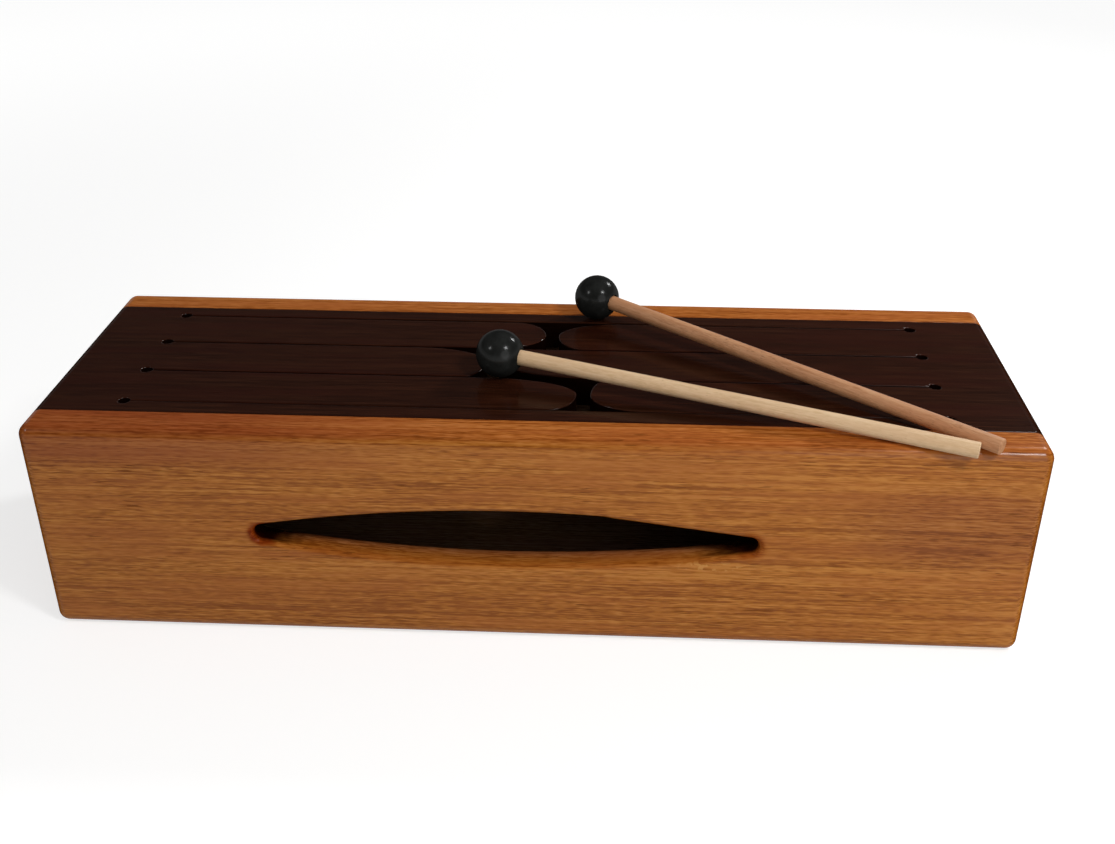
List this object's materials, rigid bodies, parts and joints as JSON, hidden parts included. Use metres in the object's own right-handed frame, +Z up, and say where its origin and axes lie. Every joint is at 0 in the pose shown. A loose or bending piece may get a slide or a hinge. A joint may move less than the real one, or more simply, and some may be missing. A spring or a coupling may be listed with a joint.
{
  "type": "wooden tongue drum",
  "caption": "Wooden box drum whose dark top plate is slit into springy tongues, with a leaf-shaped sound hole in the front board and ball mallets lying on the plate.",
  "frame": {"origin": "under the middle of the box, on the face it stands on", "axes": "+X along the drum to its right end, +Y from the sound-hole board to the back board, +Z up"},
  "size_m": [0.5, 0.1758, 0.1433],
  "materials": {
    "side_wood": "light orange-brown hardwood, satin oil",
    "plate_wood": "very dark red-brown hardwood, glossy varnish",
    "dowel_wood": "plain beech, unfinished",
    "pale_wood": "pale dowel, sanded",
    "tan_wood": "tan dowel, sanded",
    "ball_rubber": "hard black rubber, glossy"
  },
  "bodies": {
    "drum": {"tongue_plate": "plate_wood", "front_panel": "side_wood", "back_panel": "side_wood", "left_end_panel": "side_wood", "right_end_panel": "side_wood", "bottom_panel": "side_wood", "dowel_front_left_lower": "dowel_wood", "dowel_front_left_upper": "dowel_wood", "dowel_front_right_lower": "dowel_wood", "dowel_front_right_upper": "dowel_wood", "dowel_back_left_lower": "dowel_wood", "dowel_back_left_upper": "dowel_wood", "dowel_back_right_lower": "dowel_wood", "dowel_back_right_upper": "dowel_wood"},
    "tongue_back_left": {"tongue_back_left": "plate_wood"},
    "tongue_back_right": {"tongue_back_right": "plate_wood"},
    "tongue_middle_left": {"tongue_middle_left": "plate_wood"},
    "tongue_middle_right": {"tongue_middle_right": "plate_wood"},
    "tongue_front_left": {"tongue_front_left": "plate_wood"},
    "tongue_front_right": {"tongue_front_right": "plate_wood"},
    "mallet_front": {"mallet_front_head": "ball_rubber", "mallet_front_handle": "pale_wood"},
    "mallet_back": {"mallet_back_head": "ball_rubber", "mallet_back_handle": "tan_wood"}
  },
  "joints": [
    {"name": "tongue_back_left_bend", "type": "hinge", "parent": "drum", "child": "tongue_back_left", "pos_m": [-0.206, 0.035, 0.11], "axis": [0, 1, 0], "range_deg": [-0.05, 0.3], "stiffness_Nm_per_rad": 150},
    {"name": "tongue_back_right_bend", "type": "hinge", "parent": "drum", "child": "tongue_back_right", "pos_m": [0.206, 0.035, 0.11], "axis": [0, -1, 0], "range_deg": [-0.05, 0.3], "stiffness_Nm_per_rad": 150},
    {"name": "tongue_middle_left_bend", "type": "hinge", "parent": "drum", "child": "tongue_middle_left", "pos_m": [-0.206, 0, 0.11], "axis": [0, 1, 0], "range_deg": [-0.05, 0.3], "stiffness_Nm_per_rad": 150},
    {"name": "tongue_middle_right_bend", "type": "hinge", "parent": "drum", "child": "tongue_middle_right", "pos_m": [0.206, 0, 0.11], "axis": [0, -1, 0], "range_deg": [-0.05, 0.3], "stiffness_Nm_per_rad": 150},
    {"name": "tongue_front_left_bend", "type": "hinge", "parent": "drum", "child": "tongue_front_left", "pos_m": [-0.206, -0.035, 0.11], "axis": [0, 1, 0], "range_deg": [-0.05, 0.3], "stiffness_Nm_per_rad": 150},
    {"name": "tongue_front_right_bend", "type": "hinge", "parent": "drum", "child": "tongue_front_right", "pos_m": [0.206, -0.035, 0.11], "axis": [0, -1, 0], "range_deg": [-0.05, 0.3], "stiffness_Nm_per_rad": 150},
    {"name": "mallet_front_lift", "type": "slide", "parent": "drum", "child": "mallet_front", "axis": [0, 0, 1], "range_m": [0, 0.25]},
    {"name": "mallet_back_lift", "type": "slide", "parent": "drum", "child": "mallet_back", "axis": [0, 0, 1], "range_m": [0, 0.25]}
  ]
}
